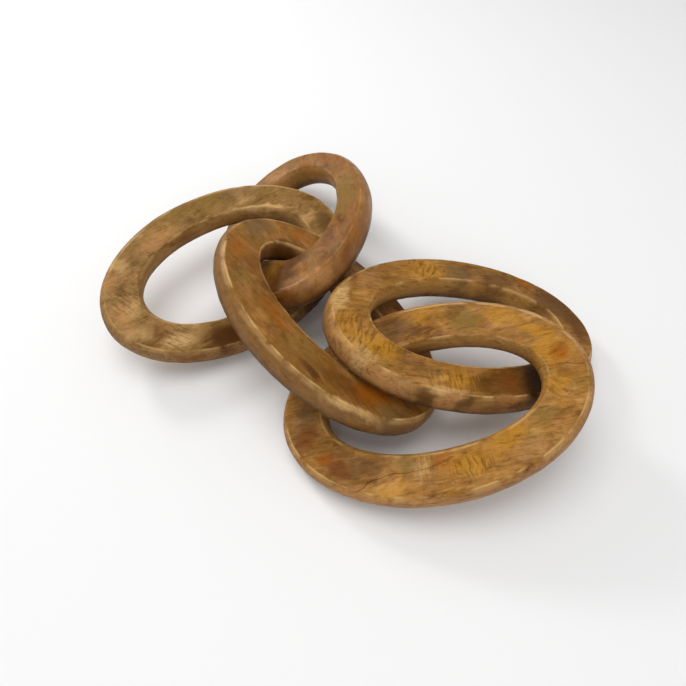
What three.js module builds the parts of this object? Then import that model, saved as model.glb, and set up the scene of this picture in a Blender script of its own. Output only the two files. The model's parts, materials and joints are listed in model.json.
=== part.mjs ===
// A decorative chain of five carved wooden links, lying in a loose heap on a flat surface.
// Each link is one closed oval ring, cut from a single board, with rounded edges all round.
// Chain order: left, back, middle, front, right. Each link passes through the hole of the next.
// Millimetres, +Z up. The origin lies on the surface, under the middle of the heap's box.

import * as THREE from "three";
import { LoftGeometry } from "three/addons/geometries/LoftGeometry.js";

// The pattern that every link is cut to
const LINK_LENGTH = 150; // over the outside, along the oval
const LINK_WIDTH = 100; // over the outside, across the oval
const THICKNESS = 15; // of the board
const END_BAR = 22; // width of the wood at each end of the oval
const SIDE_BAR = 22.5; // width of the wood halfway along each side
const OUTER_ROUND = 7; // radius of the edges round the outside
const OUTER_RIDGE = 30; // degrees by which such an edge still slopes where it meets the flat face
const HOLE_ROUND = 7.5; // radius of the edges round the hole
const HOLE_RIDGE = 45; // the same slope round the hole
const LEAST_WALL = 0.6; // height of side that two rounded edges leave between them
const HOLE_SQUARENESS = 2.1; // exponent of the hole's outline: 2 is an ellipse, more is squarer

// The heap
const TOUCH_GAP = 0.4; // left open where one link rests on another

// Facets
const STATIONS = 60; // sections round one link
const ROUND_STEPS = 3; // facets in each rounded edge
const PROBE_STATIONS = 144; // finer sections, for finding where two links touch
const PROBE_ROUND_STEPS = 6;

// Settling
const SETTLE_PASSES = 160;
const GYRATION = 0.3; // how hard a link is to turn, as a share of its length
const NEARLY = 1e-4; // a distance too small to matter

// How each link lies, and how far hand cutting left it off the pattern.
// centre: from the middle of the heap, in link lengths.
// turn: from X to the long axis. lean: then about Y and about X. All in degrees.
// cut: sizes as shares of the pattern's. shift: how far the hole lies off the middle, in bar widths.
const LINKS = [
  {
    name: "left_link",
    centre: [-0.441, 0.256],
    turn: 36.5,
    lean: { x: 13.5, y: 13 },
    cut: { length: 1.02, width: 0.985, endBar: 1.1, sideBar: 0.93, shift: [-0.03, 0.01] },
    wood: { color: 0x9c7a50, roughness: 0.6 },
  },
  {
    name: "back_link",
    centre: [-0.199, 0.457],
    turn: 95,
    lean: { x: -8.5, y: -24 },
    cut: { length: 0.985, width: 1, endBar: 1.17, sideBar: 0.95, shift: [0.17, -0.08] },
    wood: { color: 0x94683a, roughness: 0.55 },
  },
  {
    name: "middle_link",
    centre: [-0.054, -0.049],
    turn: -41.5,
    lean: { x: -4.5, y: 24 },
    cut: { length: 0.975, width: 0.99, endBar: 1.01, sideBar: 1.15, shift: [0.06, 0.03] },
    wood: { color: 0x8c6132, roughness: 0.5 },
  },
  {
    name: "front_link",
    centre: [0.289, -0.342],
    turn: 9,
    lean: { x: 10.5, y: -12 },
    cut: { length: 1.005, width: 1, endBar: 1.055, sideBar: 1.07, shift: [0, 0.02] },
    wood: { color: 0xa8753a, roughness: 0.5 },
  },
  {
    name: "right_link",
    centre: [0.427, -0.073],
    turn: 10,
    lean: { x: -4.5, y: 14 },
    cut: { length: 1.025, width: 0.99, endBar: 1.04, sideBar: 0.96, shift: [0.06, 0.04] },
    wood: { color: 0xa67a44, roughness: 0.5 },
  },
];

// Pairs that rest on each other. The other pairs only have to stay clear.
const TOUCHING = [
  ["left_link", "back_link"],
  ["left_link", "middle_link"],
  ["back_link", "middle_link"],
  ["middle_link", "front_link"],
  ["front_link", "right_link"],
];

const UP = new THREE.Vector3(0, 0, 1);

// A point on an oval with half axes a and b. The exponent 2 gives an ellipse.
function ovalPoint(a, b, exponent, angle) {
  const c = Math.cos(angle);
  const s = Math.sin(angle);
  const power = 2 / exponent;
  return new THREE.Vector2(
    a * Math.sign(c) * Math.abs(c) ** power,
    b * Math.sign(s) * Math.abs(s) ** power,
  );
}

// Distance from a point to an oval's outline, to first order, negative inside it.
function ovalDistance(a, b, exponent, x, y) {
  const u = Math.abs(x) / a;
  const v = Math.abs(y) / b;
  const size = (u ** exponent + v ** exponent) ** (1 / exponent);
  if (size < NEARLY) return -Math.min(a, b);
  const slopeX = (u / size) ** (exponent - 1) / a;
  const slopeY = (v / size) ** (exponent - 1) / b;
  return (size - 1) / Math.hypot(slopeX, slopeY);
}

// A rounded edge: its radius, limited by the board's thickness, the height of its centre above
// mid-thickness, and the degrees that it turns through.
function roundedEdge(wanted, ridge) {
  const slope = Math.cos(THREE.MathUtils.degToRad(ridge));
  const radius = Math.min(wanted, (THICKNESS - LEAST_WALL) / 2 / slope);
  return { radius, height: THICKNESS / 2 - radius * slope, span: 90 - ridge };
}

const OUTER_EDGE = roundedEdge(OUTER_ROUND, OUTER_RIDGE);
const HOLE_EDGE = roundedEdge(HOLE_ROUND, HOLE_RIDGE);

// The bar's cross-section as [inwards from the outer edge, up from mid-thickness] pairs.
// It starts under the hole's edge and runs up the hole's side, over the top and down the outside.
function barSection(width, roundSteps) {
  const corners = [
    { edge: HOLE_EDGE, inwards: width - HOLE_EDGE.radius, side: -1, from: -HOLE_EDGE.span },
    { edge: HOLE_EDGE, inwards: width - HOLE_EDGE.radius, side: 1, from: 0 },
    { edge: OUTER_EDGE, inwards: OUTER_EDGE.radius, side: 1, from: 180 - OUTER_EDGE.span },
    { edge: OUTER_EDGE, inwards: OUTER_EDGE.radius, side: -1, from: 180 },
  ];
  const points = [];
  for (const { edge, inwards, side, from } of corners) {
    for (let step = 0; step <= roundSteps; step++) {
      const angle = THREE.MathUtils.degToRad(from + (edge.span * step) / roundSteps);
      points.push([
        inwards + edge.radius * Math.cos(angle),
        side * edge.height + edge.radius * Math.sin(angle),
      ]);
    }
  }
  return points;
}

class Link {
  constructor({ name, centre, turn, lean, cut }) {
    this.name = name;
    this.outer = [(LINK_LENGTH * cut.length) / 2, (LINK_WIDTH * cut.width) / 2];
    this.hole = [
      this.outer[0] - END_BAR * cut.endBar,
      this.outer[1] - SIDE_BAR * cut.sideBar,
    ];
    this.shift = new THREE.Vector2(cut.shift[0] * END_BAR, cut.shift[1] * SIDE_BAR);
    this.position = new THREE.Vector3(centre[0] * LINK_LENGTH, centre[1] * LINK_LENGTH, 0);
    const [x, y, z] = [lean.x, lean.y, turn].map(THREE.MathUtils.degToRad);
    this.quaternion = new THREE.Quaternion().setFromEuler(new THREE.Euler(x, y, z, "XYZ"));
    this.probes = this.sections(PROBE_STATIONS, PROBE_ROUND_STEPS).flat();
  }

  // The bar's section at each station round the oval, in the link's own frame.
  sections(stations, roundSteps) {
    const list = [];
    for (let station = 0; station < stations; station++) {
      const angle = (2 * Math.PI * station) / stations;
      const edge = ovalPoint(...this.outer, 2, angle);
      const inwards = ovalPoint(...this.hole, HOLE_SQUARENESS, angle).add(this.shift).sub(edge);
      const width = inwards.length();
      inwards.normalize();
      list.push(
        barSection(width, roundSteps).map(
          ([depth, up]) =>
            new THREE.Vector3(edge.x + inwards.x * depth, edge.y + inwards.y * depth, up),
        ),
      );
    }
    return list;
  }

  // One mesh, lofted through the sections and closed on its first one.
  geometry() {
    const sections = this.sections(STATIONS, ROUND_STEPS);
    return new LoftGeometry([...sections, sections[0]]);
  }

  toWorld(point) {
    return point.clone().applyQuaternion(this.quaternion).add(this.position);
  }

  // Distance from a point in the world to the link's surface, negative inside the wood.
  distance(world) {
    const p = world.clone().sub(this.position).applyQuaternion(this.quaternion.clone().invert());
    const outside = ovalDistance(...this.outer, 2, p.x, p.y);
    const [x, y] = [p.x - this.shift.x, p.y - this.shift.y];
    const inHole = -ovalDistance(...this.hole, HOLE_SQUARENESS, x, y);
    const { radius, height } = outside > inHole ? OUTER_EDGE : HOLE_EDGE;
    const across = Math.max(outside, inHole) + radius;
    const along = Math.abs(p.z) - height;
    const inside = Math.min(Math.max(across, along), 0);
    const rounded = inside + Math.hypot(Math.max(across, 0), Math.max(along, 0)) - radius;
    return Math.max(rounded, Math.abs(p.z) - THICKNESS / 2);
  }

  // Direction in which the distance grows fastest at a point.
  normalAt(world) {
    const step = 0.01;
    const slope = (axis) => {
      const ahead = world.clone().addScaledVector(axis, step);
      const behind = world.clone().addScaledVector(axis, -step);
      return this.distance(ahead) - this.distance(behind);
    };
    return new THREE.Vector3(
      slope(new THREE.Vector3(1, 0, 0)),
      slope(new THREE.Vector3(0, 1, 0)),
      slope(UP),
    ).normalize();
  }

  // How far a push at a point moves that point, for a push of one: more where it also turns the link.
  give(point, direction) {
    const arm = point.clone().sub(this.position).cross(direction);
    return 1 + arm.lengthSq() / (GYRATION * LINK_LENGTH) ** 2;
  }

  // Shifts and turns the link by a push at a point.
  push(point, direction, amount) {
    const spin = point.clone().sub(this.position).cross(direction);
    spin.multiplyScalar(amount / (GYRATION * LINK_LENGTH) ** 2);
    this.position.addScaledVector(direction, amount);
    const angle = spin.length();
    if (angle > 0) {
      const turn = new THREE.Quaternion().setFromAxisAngle(spin.normalize(), angle);
      this.quaternion.premultiply(turn).normalize();
    }
  }

  lowest() {
    return this.probes
      .map((probe) => this.toWorld(probe))
      .reduce((low, point) => (point.z < low.z ? point : low));
  }
}

// Where one link comes nearest another: the point on a, the gap, and the way from b to a.
function nearestOneWay(a, b) {
  let best = { gap: Infinity, point: null };
  const toB = b.quaternion.clone().invert();
  const reach = THICKNESS / 2;
  for (const probe of a.probes) {
    const point = a.toWorld(probe);
    const height = Math.abs(point.clone().sub(b.position).applyQuaternion(toB).z) - reach;
    if (height > best.gap) continue;
    const gap = b.distance(point);
    if (gap < best.gap) best = { gap, point };
  }
  return { ...best, away: b.normalAt(best.point) };
}

function nearest(a, b) {
  const there = nearestOneWay(a, b);
  const back = nearestOneWay(b, a);
  return there.gap <= back.gap ? there : { ...back, away: back.away.negate() };
}

// Lays every link on the surface and every touching pair a gap apart, by small pushes in turn.
function settle(links) {
  const touching = new Set(TOUCHING.map((pair) => pair.join()));
  for (let pass = 0; pass < SETTLE_PASSES; pass++) {
    let worst = 0;
    for (const link of links) {
      const low = link.lowest();
      link.push(low, UP, -low.z / link.give(low, UP));
      worst = Math.max(worst, Math.abs(low.z));
    }
    for (const [i, a] of links.entries()) {
      for (const b of links.slice(i + 1)) {
        if (a.position.distanceTo(b.position) > LINK_LENGTH) continue;
        const { gap, point, away } = nearest(a, b);
        const rests = touching.has([a.name, b.name].join());
        const missing = rests ? TOUCH_GAP - gap : Math.max(TOUCH_GAP - gap, 0);
        const amount = missing / (a.give(point, away) + b.give(point, away));
        a.push(point, away, amount);
        b.push(point, away, -amount);
        worst = Math.max(worst, Math.abs(missing));
      }
    }
    if (worst < NEARLY) break;
  }
}

function linkMesh(link, { color, roughness }) {
  const material = new THREE.MeshStandardMaterial({ color, roughness, metalness: 0 });
  const mesh = new THREE.Mesh(link.geometry(), material);
  mesh.name = link.name;
  mesh.position.copy(link.position);
  mesh.quaternion.copy(link.quaternion);
  return mesh;
}

const links = LINKS.map((entry) => new Link(entry));
for (const link of links) link.position.z -= link.lowest().z;
settle(links);

const chain = new THREE.Group();
chain.name = "chain";
links.forEach((link, i) => chain.add(linkMesh(link, LINKS[i].wood)));

// The middle of the box goes over the origin, and its underside on the surface.
const box = new THREE.Box3().setFromObject(chain, true);
const middle = box.getCenter(new THREE.Vector3());
chain.position.set(-middle.x, -middle.y, -box.min.z);

export default chain;
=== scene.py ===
"""Dresses a heap of five carved wooden chain links and sets up the studio that they are shown in."""

import json
import math
from dataclasses import dataclass, replace

import bpy
import numpy as np
from mathutils import Matrix, Vector

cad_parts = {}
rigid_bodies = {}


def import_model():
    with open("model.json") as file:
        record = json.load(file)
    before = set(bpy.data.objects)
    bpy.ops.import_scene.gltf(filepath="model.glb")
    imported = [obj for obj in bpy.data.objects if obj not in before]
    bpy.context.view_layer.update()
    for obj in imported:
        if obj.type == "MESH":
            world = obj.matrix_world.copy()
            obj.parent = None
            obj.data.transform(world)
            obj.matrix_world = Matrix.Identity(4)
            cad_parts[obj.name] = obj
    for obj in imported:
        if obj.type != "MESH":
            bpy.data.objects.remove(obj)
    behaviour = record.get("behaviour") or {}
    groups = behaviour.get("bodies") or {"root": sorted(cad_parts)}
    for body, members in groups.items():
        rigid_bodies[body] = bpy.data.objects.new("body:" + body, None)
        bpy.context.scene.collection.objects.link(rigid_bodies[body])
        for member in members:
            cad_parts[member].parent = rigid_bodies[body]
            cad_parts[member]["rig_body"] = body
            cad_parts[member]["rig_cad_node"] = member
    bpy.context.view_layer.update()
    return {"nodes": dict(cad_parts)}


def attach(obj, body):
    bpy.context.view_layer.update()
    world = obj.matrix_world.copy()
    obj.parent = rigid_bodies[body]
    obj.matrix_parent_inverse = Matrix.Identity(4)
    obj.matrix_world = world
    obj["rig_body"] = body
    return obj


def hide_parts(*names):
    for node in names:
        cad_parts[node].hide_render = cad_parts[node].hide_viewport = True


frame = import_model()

bl_info = {
    "name": "Carved Chain",
    "version": (1, 0, 0),
    "blender": (4, 5, 0),
    "location": "3D View > Sidebar > Carved Chain",
    "description": "Carves the links of a wooden chain, finishes their wood and lights them",
    "category": "Object",
}

MM = 0.001
FAR = 1000  # millimetres: further than any link reaches
BODY = "root"

# Each lamp has its name, its place from where the camera looks, its width and its power
LAMPS = (
    ("top_lamp", (-0.15, 0.1, 1.0), 0.8, 4.1),
    ("side_lamp", (-0.7, 0.75, 0.6), 0.25, 3.4),
    ("front_lamp", (0.1, -0.9, 0.7), 0.6, 1.6),
)


# Colours


def tone(red, green, blue):
    """The linear colour of a screen colour given from 0 to 255."""
    return tuple(((c / 255 + 0.055) / 1.055) ** 2.4 for c in (red, green, blue))


# Colours of real stains and of painted shade and highlight
STAINS_AND_PAINTED_LIGHT = {
    "olive": tone(136, 106, 46),
    "pink": tone(184, 132, 78),
    "orange": tone(162, 88, 6),
    "gold": tone(188, 130, 34),
    "umber": tone(84, 48, 10),
    "rust": tone(122, 68, 18),
    "mauve": tone(112, 76, 40),
    "ash": tone(124, 96, 58),
    # This pale colour paints highlight on ridges and rims, and also real rubbed and pale wood
    "cream": tone(220, 178, 116),
    # This near-black paints shade under and between the links, and also real dark spots and cracks
    "soot_and_shade": tone(34, 14, 2),
}


# Marks on a link, in millimetres along and across it and turned in degrees


@dataclass
class ColourPatch:
    """A soft patch of another colour: a stain, or a painted shade or highlight."""

    colour: str
    x: float
    y: float
    length: float
    width: float
    turn: float
    strength: float


@dataclass
class Curl:
    """A patch of curly grain, and how wide its ripples are."""

    x: float
    y: float
    length: float
    width: float
    turn: float = 0
    strength: float = 1
    ripple: float = 0.8


@dataclass
class Crack:
    """A fine crack in the top face, through a row of places."""

    places: tuple
    width: float


@dataclass
class Swell:
    """A place where the bar is thicker towards the back of the heap."""

    x: float
    y: float
    reach: float
    height: float


# The five links


@dataclass
class Plan:
    """How one link differs from the rest: stains and patches of painted shade and highlight, patches of
    curly grain, cracks and swells.
    """

    slot: str
    stains: tuple = ()
    curls: tuple = ()
    cracks: tuple = ()
    swells: tuple = ()


LINKS = {
    "left_link": Plan(
        "olive_wood",
        stains=(
            ColourPatch("pink", -28, 33, 16, 7, 12, 0.8),
            ColourPatch("olive", -14, 44, 24, 5, 4, 0.6),
            ColourPatch("olive", 8, 41, 20, 6, 0, 0.6),
            ColourPatch("olive", -46, 34, 9, 6, 0, 0.6),
            # The cream patches round the rim of the left end are painted highlight
            ColourPatch("cream", -55, 28, 5, 10, 30, 0.5),
            ColourPatch("pink", -64, 20, 6, 4, 60, 0.6),
            ColourPatch("umber", -60, 14, 5, 3, 40, 0.5),
            ColourPatch("pink", -68, -2, 9, 5, 80, 0.7),
            ColourPatch("cream", -66, -12, 8, 5, -40, 0.35),
            ColourPatch("rust", -56, -18, 6, 4, 30, 0.5),
            ColourPatch("cream", -50, -26, 11, 5, -20, 0.7),
            ColourPatch("rust", -50, -37, 14, 3, -25, 0.5),
            ColourPatch("umber", -30, -36, 11, 10, 0, 0.95),
            ColourPatch("umber", -20, -38, 14, 8, 0, 0.8),
            ColourPatch("ash", 30, 39, 18, 5, -10, 0.6),
            # Painted shade at the right end, where it runs under the back link
            ColourPatch("mauve", 67, -5, 8, 12, 0, 0.7),
            ColourPatch("rust", -15, 28, 14, 3.5, 5, 0.45),
            # Painted highlight along the ridge of the hole on the far bar
            ColourPatch("cream", 37, 23, 20, 2.2, -26, 0.9),
            # Painted shade in the nook where the near bar runs under the other links
            ColourPatch("soot_and_shade", 36, -38, 22, 13, 0, 0.95),
        ),
        curls=(
            Curl(-60, 4, 12, 16, 20, 0.7, 1.3),
            Curl(-50, -24, 14, 10, 35, 0.9, 1.1),
        ),
    ),
    "back_link": Plan(
        "tan_wood",
        stains=(
            ColourPatch("pink", -56, -8, 12, 8, 40, 0.6),
            ColourPatch("orange", -43, 31, 12, 5, 40, 0.5),
            ColourPatch("ash", -48, 4, 8, 10, 0, 0.5),
            ColourPatch("olive", 4, 36, 26, 9, 0, 0.8),
            ColourPatch("pink", 24, 47, 26, 3, 0, 0.3),
            ColourPatch("orange", 32, 39, 22, 2.5, 0, 0.35),
            ColourPatch("rust", 50, 33, 14, 3.5, -20, 0.7),
            ColourPatch("rust", 58, 24, 5, 3, -40, 0.6),
            ColourPatch("rust", 41, 24, 10, 4, -20, 0.5),
            # The umber, ash and soot patches at the near end are painted shade where the bar runs under
            # the middle link; the ash is a painted grey sheen on the rounded edge of the hole
            ColourPatch("umber", 50, 2, 6, 13, 20, 0.85),
            ColourPatch("umber", 59, -4, 6, 12, 0, 0.8),
            ColourPatch("ash", 44, -11, 3, 8, -20, 0.6),
            ColourPatch("pink", 67, 15, 6, 12, -20, 0.7),
            ColourPatch("rust", 72, -6, 6, 9, 0, 0.9),
            ColourPatch("umber", 66, -9, 7, 7, 0, 0.8),
            ColourPatch("soot_and_shade", 70, -18, 7, 9, 0, 0.8),
        ),
        swells=(Swell(43.5, -11.2, 12.5, 2.5),),
    ),
    "middle_link": Plan(
        "dark_wood",
        stains=(
            ColourPatch("ash", -63, 4, 8, 12, 0, 0.8),
            ColourPatch("orange", -50, 24, 8, 6, 30, 0.5),
            # Painted shade on the side of the hole at the upper end
            ColourPatch("umber", -46, 9, 5, 9, -30, 0.8),
            ColourPatch("rust", -44, -18, 9, 6, -40, 0.5),
            ColourPatch("orange", -56, -18, 8, 6, -30, 0.5),
            ColourPatch("olive", -40, -30, 8, 9, 0, 0.6),
            ColourPatch("orange", -13, -31, 14, 6, -10, 0.4),
            ColourPatch("olive", 6, -33, 10, 8, 0, 0.5),
            ColourPatch("umber", 20, -40, 8, 3, 0, 0.8),
            ColourPatch("umber", 34, -30, 20, 7, 15, 0.5),
            ColourPatch("rust", 43, -26, 9, 6, 0, 0.6),
            ColourPatch("orange", 48, -18, 12, 8, 40, 0.7),
            ColourPatch("ash", 60, -20, 7, 7, 0, 0.6),
            # Pale line along the outer ridge: rubbed wood and painted highlight
            ColourPatch("cream", 45, -35, 20, 2.2, 29, 0.5),
            ColourPatch("pink", -32, -35, 10, 5, -25, 0.4),
        ),
    ),
    "front_link": Plan(
        "amber_wood",
        stains=(
            ColourPatch("ash", -60, 4, 7, 9, 0, 0.6),
            ColourPatch("mauve", -65, -5, 10, 16, 0, 0.6),
            ColourPatch("rust", -62, -9, 8, 6, 40, 0.75),
            ColourPatch("umber", -50, -24, 14, 12, -30, 0.45),
            ColourPatch("rust", -50, -26, 6, 4, -30, 0.9),
            ColourPatch("orange", -55, -21, 5, 4, 0, 0.8),
            ColourPatch("mauve", -36, -27, 9, 6, 0, 0.7),
            ColourPatch("olive", -19, -30, 6, 7, 0, 0.8),
            ColourPatch("gold", -24, -41, 16, 4, -8, 0.4),
            ColourPatch("orange", 0, -32, 6, 4, 0, 0.7),
            ColourPatch("cream", -12, -34, 6, 6, 0, 0.35),
            ColourPatch("pink", -46, -37, 13, 5, -25, 0.7),
            ColourPatch("pink", 36, -35, 14, 6, 15, 0.5),
            ColourPatch("gold", 14, -35, 20, 7, 0, 0.7),
            ColourPatch("gold", 30, -27, 12, 6, 20, 0.8),
            ColourPatch("olive", 47, -21, 8, 6, 20, 0.6),
            ColourPatch("gold", 57, -17, 6, 9, 0, 0.4),
            ColourPatch("gold", 57, -5, 8, 6, 0, 0.6),
            ColourPatch("gold", 59, 10, 11, 9, -20, 0.9),
            ColourPatch("orange", 62, 8, 6, 5, 0, 0.8),
            ColourPatch("gold", 54, 22, 12, 4, -35, 0.8),
            ColourPatch("rust", 34, 27, 9, 3.5, -25, 0.5),
            ColourPatch("gold", 43, 32, 12, 6, -30, 0.6),
            ColourPatch("olive", 25, 33, 9, 7, 0, 0.8),
            ColourPatch("gold", 7, 41, 9, 5, 0, 0.6),
            ColourPatch("mauve", -11, 39, 10, 8, 0, 0.7),
        ),
        curls=(
            Curl(12, -37, 12, 5),
            Curl(-10, -32, 10, 9, 0, 0.5),
            Curl(58, -8, 8, 14, 40, 0.6, 1.4),
        ),
        cracks=(
            Crack(((-43, -37.5), (-35, -34.5), (-27, -33), (-17, -33.7), (-7, -33.4), (3, -31)), 0.45),
            Crack(((50, 3.4), (58, 1.6), (64, 1), (71, -0.6)), 0.4),
        ),
    ),
    "right_link": Plan(
        "golden_wood",
        stains=(
            # Painted highlight on the rim of the left end
            ColourPatch("cream", -67, 12, 5, 12, -20, 0.75),
            ColourPatch("gold", -66, -6, 7, 12, 0, 0.45),
            ColourPatch("gold", -19, 35, 16, 8, 0, 0.55),
            ColourPatch("ash", 5, 34, 10, 9, 0, 0.85),
            ColourPatch("mauve", 15, 39, 12, 5, 0, 0.7),
            ColourPatch("mauve", 27, 31, 14, 9, 0, 0.8),
            ColourPatch("orange", 46, 31, 6, 4, 0, 0.6),
            ColourPatch("mauve", 60, 16, 18, 12, -35, 0.95),
            ColourPatch("umber", 62, 20, 12, 6, -40, 0.35),
            ColourPatch("umber", 68, 0, 8, 16, 0, 0.7),
            ColourPatch("pink", -50, 27, 10, 7, 30, 0.6),
            ColourPatch("gold", -54, -19, 14, 8, -30, 0.7),
            ColourPatch("cream", -62, -24, 9, 5, -40, 0.45),
            ColourPatch("mauve", -34, -30, 7, 6, 0, 0.5),
            ColourPatch("pink", -38, -37, 8, 3, 0, 0.5),
            ColourPatch("cream", -25, -42, 13, 2.4, -8, 0.5),
            ColourPatch("gold", -17, -35, 10, 7, 0, 0.7),
            ColourPatch("umber", 6, -40, 22, 14, 0, 0.75),
            ColourPatch("rust", 9, -38, 8, 10, 15, 0.6),
            # Painted shade where the near bar runs under the front link
            ColourPatch("soot_and_shade", 25, -39, 12, 16, 0, 0.9),
            ColourPatch("pink", -56, -36, 14, 6, -20, 0.8),
            ColourPatch("umber", -36, -44, 7, 4, 0, 0.8),
            ColourPatch("pink", -24, -46, 8, 3, 0, 0.7),
            ColourPatch("soot_and_shade", -16, -47.5, 6, 2.5, 0, 0.6),
            ColourPatch("pink", 6, -48, 8, 3, 0, 0.6),
        ),
        curls=(
            Curl(-60, -12, 22, 17, -30, 1, 1.5),
            Curl(-16, 36, 14, 8, -30, 1, 1.5),
            Curl(-20, -36, 20, 8, 0, 0.9, 1.2),
        ),
    ),
}


# Settings


def colour(name, description, default):
    return bpy.props.FloatVectorProperty(
        name=name, description=description, default=default, subtype="COLOR", min=0, max=1
    )


def share(name, description, default):
    return bpy.props.FloatProperty(
        name=name, description=description, default=default, subtype="FACTOR", min=0, max=1
    )


def length(name, description, default):
    return bpy.props.FloatProperty(
        name=name, description=description, default=default, subtype="DISTANCE", unit="LENGTH"
    )


def angle(name, description, default):
    return bpy.props.FloatProperty(
        name=name, description=description, default=math.radians(default), subtype="ANGLE"
    )


class CarvingSettings(bpy.types.PropertyGroup):
    weld: length("Weld", "Corners closer than this are one corner", 0.01 * MM)
    sway_depth: length("Sway depth", "How far hand sanding leaves the surface off true", 0.5 * MM)
    sway_size: length("Sway size", "How wide the hollows and swells are", 20 * MM)
    dent_depth: length("Dent depth", "Depth of the small dents", 0.15 * MM)
    dent_size: length("Dent size", "How wide the small dents are", 5 * MM)
    crack_depth: length("Crack depth", "How deep the cracks are", 0.3 * MM)


class FinishSettings(bpy.types.PropertyGroup):
    outside: share("Outer side", "How far the outer side takes its own colour", 0.8)
    inside: share("Hole side", "How far the side round the hole takes its own colour", 0.7)
    pale_grain: share("Pale grain", "How strongly the pale grain shows", 0.8)
    dark_grain: share("Dark grain", "How strongly the dark grain shows", 0.75)
    # Painted shade: how dark the lower halves of the rounded sides are made
    underside: share("Underside", "How dark the undersides are", 0.72)
    cracks: share("Cracks", "How dark the cracks are", 0.55)
    relief: share("Relief", "How strongly the grain stands out", 0.6)
    relief_depth: length("Relief depth", "How deep the grain is", 0.15 * MM)
    wax_roughness: share("Wax roughness", "How matt the wax is", 0.28)
    shine: share("Shine", "How strongly the bare wood reflects", 0.08)


def link_settings(title, ridge, pale, body, deep, wall, bore, figure, worn, roughness, coat):
    """The settings of one link's carving and wood, with that link's defaults."""
    fields = {
        "ridge": share("Ridge", "How sharp the ridges beside the flat faces stay", ridge),
        "pale": colour("Pale wood", "Colour of the palest wood", pale),
        "body": colour("Body", "Colour of most of the wood", body),
        "deep": colour("Deep wood", "Colour of the darkest wood", deep),
        "wall": colour("Outer side", "Colour of the rounded side round the outside", wall),
        "bore": colour("Hole side", "Colour of the rounded side round the hole", bore),
        "figure": share("Figure", "How strongly the grain shows", figure),
        # The pale on the ridges is real wear and painted highlight
        "worn": share("Worn ridges", "How far the ridges are rubbed pale", worn),
        "roughness": share("Roughness", "How matt the waxed wood is", roughness),
        "coat": share("Wax", "How much polish lies on the wood", coat),
    }
    return type(title, (bpy.types.PropertyGroup,), {"__annotations__": fields})


LINK_SETTINGS = {
    "left_link": link_settings(
        "LeftLink", ridge=0.5,
        pale=tone(195, 153, 96), body=tone(153, 115, 65), deep=tone(114, 79, 35),
        wall=tone(140, 104, 68), bore=tone(191, 147, 88),
        figure=0.7, worn=0.7, roughness=0.55, coat=0.05,
    ),
    "back_link": link_settings(
        "BackLink", ridge=0.35,
        pale=tone(161, 108, 44), body=tone(141, 91, 34), deep=tone(105, 63, 20),
        wall=tone(149, 101, 54), bore=tone(182, 131, 67),
        figure=0.6, worn=0.3, roughness=0.4, coat=0.32,
    ),
    "middle_link": link_settings(
        "MiddleLink", ridge=0.45,
        pale=tone(168, 118, 56), body=tone(138, 92, 38), deep=tone(104, 65, 22),
        wall=tone(132, 95, 55), bore=tone(138, 101, 62),
        figure=0.6, worn=0.95, roughness=0.45, coat=0.15,
    ),
    "front_link": link_settings(
        "FrontLink", ridge=0.5,
        pale=tone(206, 152, 82), body=tone(160, 110, 46), deep=tone(121, 76, 29),
        wall=tone(169, 122, 80), bore=tone(189, 144, 84),
        figure=0.95, worn=0.9, roughness=0.5, coat=0.1,
    ),
    "right_link": link_settings(
        "RightLink", ridge=0.5,
        pale=tone(193, 141, 72), body=tone(152, 104, 43), deep=tone(110, 70, 23),
        wall=tone(160, 116, 70), bore=tone(204, 154, 82),
        figure=1.0, worn=0.9, roughness=0.5, coat=0.1,
    ),
}


class StudioSettings(bpy.types.PropertyGroup):
    floor_colour: colour("Floor", "Colour of the floor", (0.94, 0.94, 0.94))
    floor_roughness: share("Floor roughness", "How matt the floor is", 0.9)
    floor_size: length("Floor size", "Width of the floor", 6.0)
    aim_x: length("Aim X", "Where the camera looks, from the middle of the heap", -2.8 * MM)
    aim_y: length("Aim Y", "Where the camera looks, from the middle of the heap", -19.9 * MM)
    distance: length("Distance", "From the camera to where it looks", 311.1 * MM)
    elevation: angle("Elevation", "Height of the camera above the floor, as an angle", 54.9)
    field: angle("Field of view", "Angle that the picture takes in", 65.3)
    nearest: length("Nearest", "Nearest distance that the camera sees", 10 * MM)
    sky: bpy.props.FloatProperty(
        name="Sky", description="Brightness of the light from all round", default=0.5
    )


# Modelling tools


def deselect():
    if bpy.context.mode != "OBJECT":
        bpy.ops.object.mode_set(mode="OBJECT")
    bpy.ops.object.select_all(action="DESELECT")


def pick(piece):
    deselect()
    piece.select_set(True)
    bpy.context.view_layer.objects.active = piece


def apply_modifier(piece, name, kind, **settings):
    pick(piece)
    modifier = piece.modifiers.new(name, kind)
    for key, value in settings.items():
        setattr(modifier, key, value)
    bpy.ops.object.modifier_apply(modifier=modifier.name)


def clouds(name, size):
    texture = bpy.data.textures.new(name, "CLOUDS")
    texture.noise_scale = size
    texture.noise_depth = 2
    return texture


def corners_of(piece):
    return np.array([v.co for v in piece.data.vertices])


def middle_and_half(points):
    """The middle of the box round some points, and half its size."""
    return (points.max(0) + points.min(0)) / 2, (points.max(0) - points.min(0)) / 2


def reach(points, half):
    """How far out points lie in an oval, from 0 in its middle to 1 on its rim."""
    return np.hypot(points[:, 0] / half[0], points[:, 1] / half[1])


def inset(points, half):
    """How far points lie inside an oval."""
    size = reach(points, half)
    return (1 - size) * size / reach(points, half ** 2)


# Carving


BORE_REACH = 0.9  # the wall of the hole lies within this reach
FLAT_DEPTH = 0.1 * MM  # corners this near to the top or the bottom lie on a flat face
CROSSING = 0.1  # an edge whose ends differ by more than this in reach runs across the bar
QUAD_BEND = math.radians(60)  # pairs of triangles that are bent less than this become quads
FLAT_CUTS = 2  # how often the flat faces are cut along the bar
FINENESS = 3  # how often the mesh is subdivided
CLOUD_MIDDLE = 0.62  # the grey of the clouds that leaves the surface where it is


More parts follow.
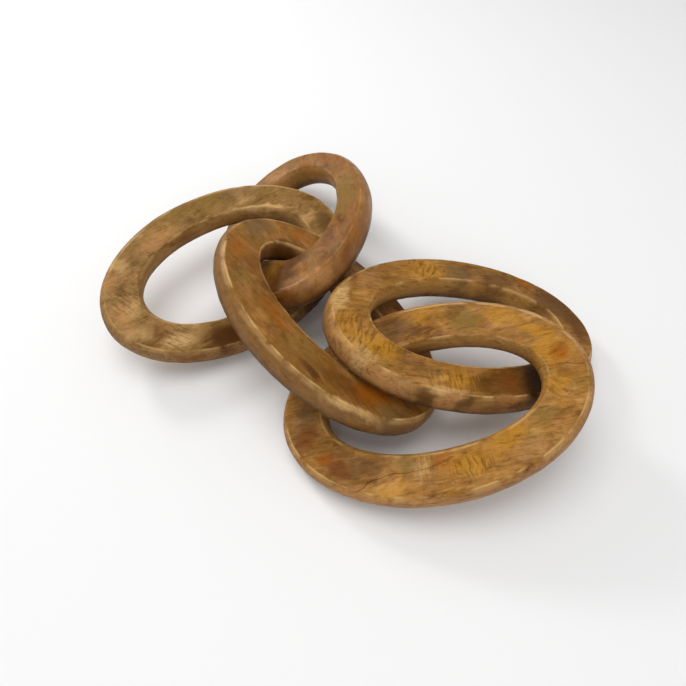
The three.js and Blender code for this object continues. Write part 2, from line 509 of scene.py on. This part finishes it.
class LinkShape:
    """A link's own frame and sizes, read from its node: X along the oval, Z through the board."""

    def __init__(self, node):
        corners = corners_of(node)
        self.centre = corners.mean(0)
        _, _, axes = np.linalg.svd(corners - self.centre, full_matrices=False)
        along = axes[0] * np.sign(axes[0][0])
        through = axes[2] * np.sign(axes[2][2])
        self.axes = np.stack([along, np.cross(through, along), through])
        middle, self.half = middle_and_half(self.to_local(corners))
        self.centre = self.centre + middle @ self.axes

        local = self.to_local(corners)
        on_bore = (np.abs(local[:, 2]) < self.half[2] / 2) & (reach(local, self.half) < BORE_REACH)
        self.hole_centre, self.hole = middle_and_half(local[on_bore])
        face = local[self.on_face(local)]
        self.outer_edge = inset(face, self.half).min()
        self.hole_edge = -inset(face - self.hole_centre, self.hole).max()

    def to_local(self, points):
        return (points - self.centre) @ self.axes.T

    def on_face(self, local):
        """Which points lie on the two flat faces."""
        return self.half[2] - np.abs(local[:, 2]) < FLAT_DEPTH


def carve(node, shape, settings, ridge, plan):
    """A finely meshed copy of a link, with the slight unevenness of hand sanding."""
    pick(node)
    bpy.ops.object.duplicate()
    piece = bpy.context.object
    piece.name = node.name + "_carved"
    piece.parent = None
    # The copy is a new piece, and no CAD node
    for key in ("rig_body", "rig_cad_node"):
        del piece[key]

    bpy.ops.object.mode_set(mode="EDIT")
    bpy.ops.mesh.select_all(action="SELECT")
    bpy.ops.mesh.remove_doubles(threshold=settings.weld)
    bpy.ops.mesh.tris_convert_to_quads(face_threshold=QUAD_BEND, shape_threshold=math.pi)
    select_on_flats(piece, shape, across=False)
    bpy.ops.transform.edge_crease(value=ridge)
    select_on_flats(piece, shape, across=True)
    bpy.ops.mesh.subdivide(number_cuts=FLAT_CUTS)
    deselect()

    apply_modifier(piece, "Smooth", "SUBSURF", levels=FINENESS, render_levels=FINENESS)
    for name, size, depth in (
        ("Sway", settings.sway_size, settings.sway_depth),
        ("Dents", settings.dent_size, settings.dent_depth),
    ):
        texture = clouds(f"{node.name} {name}", size)
        apply_modifier(
            piece, name, "DISPLACE",
            texture=texture, texture_coords="LOCAL", strength=depth, mid_level=CLOUD_MIDDLE,
        )
    swell(piece, shape, plan.swells)
    if plan.cracks:
        sink(piece, shape, plan.cracks, settings.crack_depth)
    pick(piece)
    bpy.ops.object.shade_smooth()
    return piece


def sink(piece, shape, cracks, depth):
    """Sinks cracks into the top face, deepest along the middle and flush twice their width away."""
    local = shape.to_local(corners_of(piece)) / MM
    share_down = np.zeros(len(local))
    for crack in cracks:
        for start, end in zip(crack.places, crack.places[1:]):
            along = np.subtract(end, start)
            offset = local[:, :2] - start
            part = np.clip(offset @ along / (along @ along), 0, 1)
            away = np.linalg.norm(offset - part[:, None] * along, axis=1)
            share_down = np.maximum(share_down, 1 - away / (2 * crack.width))
    share_down[local[:, 2] < 0] = 0
    push(piece, "Cracks", share_down, strength=-depth)


def swell(piece, shape, swells):
    """Makes the bar thicker in a few places, rising smoothly to the middle of each."""
    local = shape.to_local(corners_of(piece)) / MM
    for spot in swells:
        away = np.hypot(local[:, 0] - spot.x, local[:, 1] - spot.y)
        near = np.clip(1 - away / spot.reach, 0, 1)
        rise = near ** 2 * (3 - 2 * near)
        push(piece, "Swell", rise, strength=spot.height * MM, direction="Y")


def push(piece, name, share_moved, **settings):
    """Moves each corner of the mesh by its own share of a distance."""
    group = piece.vertex_groups.new(name=name)
    for index in np.flatnonzero(share_moved > 0):
        group.add([int(index)], share_moved[index], "REPLACE")
    apply_modifier(piece, name, "DISPLACE", vertex_group=group.name, mid_level=0, **settings)


def select_on_flats(piece, shape, across):
    """Selects the edges on the two flat faces that run across the bar, or the ones that run along it."""
    bpy.ops.mesh.select_all(action="DESELECT")
    bpy.ops.mesh.select_mode(type="EDGE")
    bpy.ops.object.mode_set(mode="OBJECT")
    local = shape.to_local(corners_of(piece))
    reaches = reach(local, shape.half)
    on_face = shape.on_face(local)
    for edge in piece.data.edges:
        a, b = edge.vertices
        crosses = abs(reaches[a] - reaches[b]) > CROSSING
        edge.select = bool(on_face[a] and on_face[b] and crosses == across)
    bpy.ops.object.mode_set(mode="EDIT")


# Shading tools


PATCH_EDGE, PATCH_CORE = 1.15, 0.35  # a patch fades between these shares of its size


@dataclass
class Texture:
    """A noise in the wood, with its size in millimetres along, across and through the link.

    Its high and its low part each say where they start, where they are full and how strong they are.
    """

    size: tuple
    seed: int
    detail: int
    roughness: float = 0.5
    high: tuple = None
    low: tuple = None


@dataclass
class Swirl:
    """Swirls that bend the wood, with their size and how far they shift it, in millimetres."""

    size: tuple
    shift: tuple
    seed: int


class Value:
    """A socket of a node tree that can be added, multiplied and so on."""

    def __init__(self, tree, socket):
        self.tree = tree
        self.socket = socket

    def _math(self, operation, *values):
        return self.tree.node("ShaderNodeMath", {"operation": operation}, *values)[0]

    def __add__(self, other):
        return self._math("ADD", self, other)

    __radd__ = __add__

    def __mul__(self, other):
        return self._math("MULTIPLY", self, other)

    __rmul__ = __mul__

    def __sub__(self, other):
        return self._math("SUBTRACT", self, other)

    def __rsub__(self, other):
        return self._math("SUBTRACT", other, self)

    def __truediv__(self, other):
        return self._math("DIVIDE", self, other)

    def __neg__(self):
        return self * -1

    def __abs__(self):
        return self._math("ABSOLUTE", self)

    def at_most(self, other):
        return self._math("MINIMUM", self, other)

    def at_least(self, other):
        return self._math("MAXIMUM", self, other)

    def step(self, low, high):
        """Goes smoothly from 0 at low to 1 at high."""
        settings = {"interpolation_type": "SMOOTHSTEP"}
        return self.tree.node("ShaderNodeMapRange", settings, self, low, high, 0, 1)[0]

    def part(self, shown):
        """Goes from 0 at a start to a strength where it is full, or is 0 if nothing is shown."""
        if shown is None:
            return 0
        start, full, strength = shown
        return self.step(start, full) * strength


@dataclass
class Layer:
    """A texture laid on the wood: its noise, and its high and its low part."""

    noise: Value
    high: Value
    low: Value


class Tree:
    """A material's node tree."""

    def __init__(self, name):
        self.material = bpy.data.materials.new(name)
        self.material.use_nodes = True
        self.nodes = self.material.node_tree.nodes
        self.links = self.material.node_tree.links
        self.shader = self.nodes["Principled BSDF"]

    def node(self, kind, settings, *values, **named):
        """Adds a node, and returns its outputs as values."""
        made = self.nodes.new(kind)
        for key, value in settings.items():
            if key == "stops":
                set_stops(made.color_ramp, value)
            else:
                setattr(made, key, value)
        for socket, value in zip([s for s in made.inputs if s.enabled], values):
            self.feed(socket, value)
        for key, value in named.items():
            self.feed(made.inputs[key.replace("_", " ")], value)
        return [Value(self, s) for s in made.outputs if s.enabled]

    def feed(self, socket, value):
        if isinstance(value, Value):
            self.links.new(value.socket, socket)
        elif value is not None:
            socket.default_value = value

    def mix(self, factor, a, b):
        """Mixes two colours."""
        return self.node("ShaderNodeMix", {"data_type": "RGBA"}, factor, rgba(a), rgba(b))[0]

    def scaled(self, place, scale, shift=(0, 0, 0)):
        return self.node("ShaderNodeMapping", {}, place, shift, (0, 0, 0), scale)[0]

    def size_of(self, vector):
        return self.node("ShaderNodeVectorMath", {"operation": "LENGTH"}, vector)[0]

    def noise(self, place, size, seed, detail, roughness=0.5):
        """Cloudy noise whose blobs are about as big as the size, as a number and as a colour."""
        spread = self.scaled(place, tuple(1 / s for s in size), (seed, 2 * seed, 3 * seed))
        return self.node(
            "ShaderNodeTexNoise", {}, spread, Scale=1, Detail=detail, Roughness=roughness
        )

    def lay(self, place, texture, seed):
        """A texture's noise, and its high and its low part."""
        seed += texture.seed
        noise, _ = self.noise(place, texture.size, seed, texture.detail, texture.roughness)
        return Layer(noise, noise.part(texture.high), noise.part(texture.low))

    def bend(self, place, swirl, seed):
        """Shifts a place by up to about half of what a swirl says, this way and that."""
        _, drift = self.noise(place, swirl.size, seed + swirl.seed, detail=1)
        centred = self.node(
            "ShaderNodeVectorMath", {"operation": "MULTIPLY_ADD"},
            drift, swirl.shift, tuple(-s / 2 for s in swirl.shift),
        )[0]
        return self.node("ShaderNodeVectorMath", {"operation": "ADD"}, place, centred)[0]

    def seen_from(self, place, x, y, turn, scale=(1, 1, 1)):
        """The place in the frame of a spot on the link, in units of the scale."""
        settings = {"vector_type": "TEXTURE"}
        return self.node("ShaderNodeMapping", settings, place, (x, y, 0), (0, 0, turn), scale)[0]

    def patch(self, place, spot):
        """1 in the middle of a spot on the link, falling to 0 at its edge."""
        scale = (spot.length, spot.width, FAR)
        near = self.seen_from(place, spot.x, spot.y, math.radians(spot.turn), scale)
        return self.size_of(near).step(PATCH_EDGE, PATCH_CORE) * spot.strength

    def line(self, place, start, end, width):
        """1 on a line from start to end, falling to 0 a width away."""
        along, across = end[0] - start[0], end[1] - start[1]
        near = self.seen_from(place, *start, math.atan2(across, along))
        x, y, _ = self.node("ShaderNodeSeparateXYZ", {}, near)
        beyond = (-x).at_least(x - math.hypot(along, across)).at_least(0)
        away = self.node("ShaderNodeCombineXYZ", {}, beyond, y, 0)[0]
        return self.size_of(away).step(width, 0)

    def inset(self, place, half):
        """How far a place lies inside an oval."""
        size = self.size_of(self.scaled(place, (1 / half[0], 1 / half[1], 0)))
        slope = self.size_of(self.scaled(place, (1 / half[0] ** 2, 1 / half[1] ** 2, 0)))
        return (1 - size) * size / slope


def set_stops(ramp, stops):
    while len(ramp.elements) < len(stops):
        ramp.elements.new(0.5)
    for element, (position, stop_colour) in zip(ramp.elements, stops):
        element.position = position
        element.color = rgba(stop_colour)


def rgba(value):
    return value if isinstance(value, Value) else (*value[:3], 1)


# The wood


# Each texture has its size, seed, detail and roughness, and then its parts

# Slow changes of colour: high turns pink and low turns olive
CLOUDS = Texture((24, 13, 12), 0, 3, 0.6)
HUES = Texture((15, 9, 9), 11, 3, 0.6, high=(0.53, 0.64, 0.35), low=(0.47, 0.38, 0.4))
DEEP_UP_TO, BODY_FROM, BODY_UP_TO, PALE_FROM = 0.34, 0.45, 0.55, 0.66

# The grain: high turns dark and low turns pale
STREAKS = Texture((30, 2.4, 2.4), 2, 3, 0.6, high=(0.5, 0.75, 0.35), low=(0.48, 0.28, 0.4))
DASHES = Texture((6, 1.1, 1.1), 3, 2, high=(0.56, 0.68, 0.4), low=(0.44, 0.32, 0.4))
FIBRES = Texture((9, 0.3, 0.3), 4, 2, high=(0.5, 0.7, 0.3))
PORES = Texture((3, 0.24, 0.24), 5, 1, high=(0.6, 0.72, 0.4))
MOTTLE = Texture((4, 3, 3), 6, 3, 0.65, high=(0.5, 0.72, 0.35), low=(0.46, 0.3, 0.4))
SMUDGES = Texture((10, 6, 6), 9, 4, 0.7, high=(0.56, 0.68, 0.4), low=(0.42, 0.32, 0.3))
RIPPLES = Texture((1, 7, 4), 7, 2, high=(0.46, 0.66, 0.65), low=(0.5, 0.34, 0.6))
RIPPLES_HIDE = 0.75  # how far ripples hide the rest of the grain
DARKEST, PALEST = 0.95, 0.7

# How far each part of the grain raises or sinks the surface
FIBRES_RAISE, MOTTLE_RAISES, DARK_SINKS = 0.25, 0.5, 0.35
PITS = (0.6, 0.75, 0.5)

# Wear with its painted highlight, and wax: they are where the noise is high
WEAR_AND_HIGHLIGHT = Texture((11, 11, 11), 8, 3, high=(0.4, 0.6, 1))
POLISH = Texture((12, 12, 12), 12, 1, high=(0.36, 0.6, 1))

# How much more matt mottled, dark and worn wood is
MOTTLE_MATT, DARK_MATT, WORN_MATT = 0.16, 0.12, -0.08

# Each swirl has its size, how far it shifts the wood, and its seed
BENDS = Swirl((50, 24, 24), (8, 7, 5), 0)
TATTERS = Swirl((7, 4, 4), (6, 4, 3), 1)
WAVES = Swirl((6, 5, 5), (3, 2, 2), 13)
FRAYS = Swirl((5, 5, 5), (2, 2, 0), 10)

# Where the sides of the bar have their full colour, as a share of the way from the rim to the ridge
OUTSIDE_FULL, INSIDE_FULL = 0.4, 0.3

# Millimetres from a ridge where its wear and painted highlight start and where they are full, and how
# strong they are
OUTER_RIDGE = (0.9, 0, 0.8)
HOLE_RIDGE = (1.1, 0, 0.7)
RUBBED_AND_LIT_INWARDS = (1, 0.2, 0.35)
RUBBED_AND_LIT_OUTWARDS = (-2.4, -1, 1)

# Millimetres above the middle of the board where the painted shade of the undersides, or the wear and
# painted highlight of the ridges, starts and where it is full
DARK_BELOW = (1, -6)
WORN_AND_LIT_ABOVE = (2, 5)


def link_place(tree, shape):
    """Millimetres along, across and through the link."""
    turn = Matrix(shape.axes)
    place = tree.node("ShaderNodeTexCoord", {})[3]  # Object
    shift = -(turn @ Vector(shape.centre)) / MM
    return tree.node("ShaderNodeMapping", {}, place, shift, turn.to_euler(), (1 / MM,) * 3)[0]


def strongest(values):
    """The greatest of some values, or 0 if there are none."""
    top = 0
    for value in values:
        top = value.at_least(top)
    return top


def clean_wood(tree, ragged, settings, seed):
    """The slow changes of colour over the wood."""
    cloud = tree.lay(ragged, CLOUDS, seed).noise
    stops = (
        (DEEP_UP_TO, settings.deep),
        (BODY_FROM, settings.body),
        (BODY_UP_TO, settings.body),
        (PALE_FROM, settings.pale),
    )
    tint = tree.node("ShaderNodeValToRGB", {"stops": stops}, cloud)[0]
    hue = tree.lay(ragged, HUES, seed)
    tint = tree.mix(hue.high, tint, STAINS_AND_PAINTED_LIGHT["pink"])
    return tree.mix(hue.low, tint, STAINS_AND_PAINTED_LIGHT["olive"])


@dataclass
class Zones:
    """The rounded sides, the undersides that take painted shade, and the ridges that are worn and take
    painted highlight, of a link, each from 0 to 1.
    """

    outside: Value
    inside: Value
    below: Value
    ridges: Value


def find_zones(tree, place, shape):
    """Finds the zones of a link by its own sizes."""
    outer_edge, hole_edge = shape.outer_edge / MM, shape.hole_edge / MM
    from_rim = tree.inset(place, shape.half / MM)
    from_middle_of_hole = tree.scaled(place, (1, 1, 1), tuple(-shape.hole_centre / MM))
    from_hole = -tree.inset(from_middle_of_hole, shape.hole / MM)
    outside = from_rim.step(outer_edge, OUTSIDE_FULL * outer_edge)
    inside = from_hole.step(hole_edge, INSIDE_FULL * hole_edge)

    # The pale ridges are partly rubbed wood and partly painted highlight
    from_ridge = from_rim - outer_edge
    rubbed_and_lit = from_ridge.part(RUBBED_AND_LIT_INWARDS) * from_ridge.part(RUBBED_AND_LIT_OUTWARDS)
    outer_ridge = abs(from_ridge).part(OUTER_RIDGE)
    hole_ridge = abs(from_hole - hole_edge).part(HOLE_RIDGE)
    height = tree.node("ShaderNodeSeparateXYZ", {}, place)[2]
    return Zones(
        outside=outside,
        inside=inside,
        # Painted shade on the lower halves of the rounded sides
        below=(outside + inside) * height.step(*DARK_BELOW),
        ridges=strongest((rubbed_and_lit, outer_ridge, hole_ridge)) * abs(height).step(*WORN_AND_LIT_ABOVE),
    )


def find_curls(tree, bent, ragged, plan, seed):
    """Dark and pale ripples across the grain in a few places, and how far they hide the grain."""
    wavy = tree.bend(bent, WAVES, seed)
    along, across, through = RIPPLES.size
    dark, pale, hidden = [], [], []
    for spot in plan.curls:
        near = tree.seen_from(wavy, spot.x, spot.y, math.radians(spot.turn))
        size = (along * spot.ripple, across, through)
        ripples = tree.lay(near, replace(RIPPLES, size=size), seed)
        patch = tree.patch(ragged, spot)
        dark.append(ripples.high * patch)
        pale.append(ripples.low * patch)
        hidden.append(patch * RIPPLES_HIDE)
    return strongest(dark), strongest(pale), strongest(hidden)


@dataclass
class Grain:
    """The dark and the pale parts of the grain, each from 0 to 1, its mottle and its relief."""

    dark: Value
    pale: Value
    mottle: Value
    relief: Value


def find_grain(tree, bent, ragged, figure, plan, seed):
    """Adds up all that shows in the grain, from long streaks to single pores."""
    streaks = tree.lay(bent, STREAKS, seed)
    dashes = tree.lay(bent, DASHES, seed)
    fibres = tree.lay(bent, FIBRES, seed)
    pores = tree.lay(bent, PORES, seed)
    mottle = tree.lay(ragged, MOTTLE, seed)
    smudges = tree.lay(ragged, SMUDGES, seed)
    dark_curls, pale_curls, hidden = find_curls(tree, bent, ragged, plan, seed)

    plain = figure * (1 - hidden)
    dark = (streaks.high + dashes.high + fibres.high + pores.high) * plain
    dark = (dark + mottle.high + smudges.high + dark_curls).at_most(DARKEST)
    pale = (streaks.low + dashes.low) * plain
    pale = (pale + mottle.low + smudges.low + pale_curls).at_most(PALEST)
    relief = fibres.noise * FIBRES_RAISE + mottle.noise * MOTTLE_RAISES
    relief = relief - dark * DARK_SINKS - pores.noise.part(PITS)
    return Grain(dark, pale, mottle.noise, relief)


def find_cracks(tree, place, plan, seed):
    """The cracks as frayed lines, from 0 to 1."""
    frayed = tree.bend(place, FRAYS, seed)
    return strongest(
        tree.line(frayed, start, end, crack.width)
        for crack in plan.cracks
        for start, end in zip(crack.places, crack.places[1:])
    )


def wood(node, shape, settings, finish, plan, seed):
    """The material of one link."""
    tree = Tree(node.name + " wood")
    place = link_place(tree, shape)
    bent = tree.bend(place, BENDS, seed)
    ragged = tree.bend(bent, TATTERS, seed)
    zones = find_zones(tree, place, shape)
    grain = find_grain(tree, bent, ragged, settings.figure, plan, seed)
    cracks = find_cracks(tree, place, plan, seed)
    # Where the ridges are rubbed pale and carry a painted highlight
    worn = zones.ridges * tree.lay(place, WEAR_AND_HIGHLIGHT, seed).high

    tint = clean_wood(tree, ragged, settings, seed)
    tint = tree.mix(zones.outside * finish.outside, tint, settings.wall)
    tint = tree.mix(zones.inside * finish.inside, tint, settings.bore)
    tint = tree.mix(grain.pale * finish.pale_grain, tint, settings.pale)
    # Stains, and patches of painted shade and highlight
    for colour_patch in plan.stains:
        tint = tree.mix(tree.patch(ragged, colour_patch), tint, STAINS_AND_PAINTED_LIGHT[colour_patch.colour])
    tint = tree.mix(grain.dark * finish.dark_grain, tint, STAINS_AND_PAINTED_LIGHT["umber"])
    # Painted shade: the lower halves of the rounded sides are darkened
    tint = tree.mix(zones.below * finish.underside, tint, STAINS_AND_PAINTED_LIGHT["soot_and_shade"])
    # Wear and painted highlight: the ridges are lightened towards cream
    tint = tree.mix(worn * settings.worn, tint, STAINS_AND_PAINTED_LIGHT["cream"])
    tint = tree.mix(cracks * finish.cracks, tint, STAINS_AND_PAINTED_LIGHT["soot_and_shade"])

    shader = tree.shader.inputs
    tree.feed(shader["Base Color"], tint)
    uneven = (grain.mottle - 0.5) * MOTTLE_MATT + grain.dark * DARK_MATT + worn * WORN_MATT
    tree.feed(shader["Roughness"], settings.roughness + uneven)
    bump = tree.node(
        "ShaderNodeBump", {},
        Strength=finish.relief, Distance=finish.relief_depth, Height=grain.relief,
    )[0]
    tree.feed(shader["Normal"], bump)
    tree.feed(shader["Coat Weight"], tree.lay(place, POLISH, seed).high * settings.coat)
    shader["Coat Roughness"].default_value = finish.wax_roughness
    shader["Specular IOR Level"].default_value = finish.shine
    return tree.material


# Operators


SEED_STEP = 10  # how far apart the noise of two links is


class LinkOperator:
    """What the operators of the five links share."""

    node = ""

    def execute(self, context):
        scene = context.scene
        node = frame["nodes"][self.node]
        plan = LINKS[self.node]
        seed = SEED_STEP * list(LINKS).index(self.node)
        shape = LinkShape(node)
        settings = getattr(scene, "chain_" + self.node)
        piece = carve(node, shape, scene.chain_carving, settings.ridge, plan)
        piece.data.materials.clear()
        piece.data.materials.append(wood(node, shape, settings, scene.chain_finish, plan, seed))
        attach(piece, BODY)
        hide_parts(self.node)
        return {"FINISHED"}


class CHAIN_OT_left_link(LinkOperator, bpy.types.Operator):
    """Carve the link at the left end"""

    bl_idname = "chain.left_link"
    bl_label = "Left link"
    node = "left_link"


class CHAIN_OT_back_link(LinkOperator, bpy.types.Operator):
    """Carve the link at the back"""

    bl_idname = "chain.back_link"
    bl_label = "Back link"
    node = "back_link"


class CHAIN_OT_middle_link(LinkOperator, bpy.types.Operator):
    """Carve the link in the middle"""

    bl_idname = "chain.middle_link"
    bl_label = "Middle link"
    node = "middle_link"


class CHAIN_OT_front_link(LinkOperator, bpy.types.Operator):
    """Carve the link at the front"""

    bl_idname = "chain.front_link"
    bl_label = "Front link"
    node = "front_link"


class CHAIN_OT_right_link(LinkOperator, bpy.types.Operator):
    """Carve the link at the right end"""

    bl_idname = "chain.right_link"
    bl_label = "Right link"
    node = "right_link"


class CHAIN_OT_studio(bpy.types.Operator):
    """Lay the floor and set up the lamps and the camera"""

    bl_idname = "chain.studio"
    bl_label = "Studio"

    def execute(self, context):
        scene = context.scene
        settings = scene.chain_studio
        deselect()
        bpy.ops.mesh.primitive_plane_add(size=settings.floor_size)
        floor = bpy.context.object
        floor.name = "floor"
        tree = Tree("floor")
        tree.shader.inputs["Base Color"].default_value = (*settings.floor_colour, 1)
        tree.shader.inputs["Roughness"].default_value = settings.floor_roughness
        floor.data.materials.append(tree.material)

        world = bpy.data.worlds.new("studio")
        world.use_nodes = True
        background = world.node_tree.nodes["Background"].inputs
        background["Color"].default_value = (1, 1, 1, 1)
        background["Strength"].default_value = settings.sky
        scene.world = world

        aim = Vector((settings.aim_x, settings.aim_y, 0))
        for name, place, size, power in LAMPS:
            add_lamp(name, aim, Vector(place), size, power)

        back = Vector((0, -math.cos(settings.elevation), math.sin(settings.elevation)))
        bpy.ops.object.camera_add(location=aim + back * settings.distance)
        camera = bpy.context.object
        camera.name = "camera"
        camera.rotation_euler = (math.pi / 2 - settings.elevation, 0, 0)
        camera.data.sensor_fit = "HORIZONTAL"
        camera.data.angle = settings.field
        camera.data.clip_start = settings.nearest
        scene.camera = camera
        scene.view_settings.view_transform = "Standard"
        return {"FINISHED"}


def add_lamp(name, aim, place, size, power):
    bpy.ops.object.light_add(type="AREA", location=aim + place)
    lamp = bpy.context.object
    lamp.name = name
    lamp.data.shape = "DISK"
    lamp.data.size = size
    lamp.data.energy = power
    lamp.rotation_euler = (-place).to_track_quat("-Z", "Y").to_euler()


OPERATORS = (
    CHAIN_OT_studio,
    CHAIN_OT_left_link,
    CHAIN_OT_back_link,
    CHAIN_OT_middle_link,
    CHAIN_OT_front_link,
    CHAIN_OT_right_link,
)


class CHAIN_PT_panel(bpy.types.Panel):
    """Lists the links and the studio"""

    bl_idname = "CHAIN_PT_panel"
    bl_label = "Carved Chain"
    bl_space_type = "VIEW_3D"
    bl_region_type = "UI"
    bl_category = "Carved Chain"

    def draw(self, context):
        for operator in OPERATORS:
            self.layout.operator(operator.bl_idname)


GROUPS = {
    "chain_carving": CarvingSettings,
    "chain_finish": FinishSettings,
    "chain_studio": StudioSettings,
    **{"chain_" + name: group for name, group in LINK_SETTINGS.items()},
}


def register():
    for cls in (*GROUPS.values(), *OPERATORS, CHAIN_PT_panel):
        bpy.utils.register_class(cls)
    for name, group in GROUPS.items():
        setattr(bpy.types.Scene, name, bpy.props.PointerProperty(type=group))


def unregister():
    for name in GROUPS:
        delattr(bpy.types.Scene, name)
    for cls in (CHAIN_PT_panel, *OPERATORS, *GROUPS.values()):
        bpy.utils.unregister_class(cls)


def main():
    register()
    bpy.ops.chain.studio()
    bpy.ops.chain.left_link()
    bpy.ops.chain.back_link()
    bpy.ops.chain.middle_link()
    bpy.ops.chain.front_link()
    bpy.ops.chain.right_link()


if __name__ == "__main__":
    main()
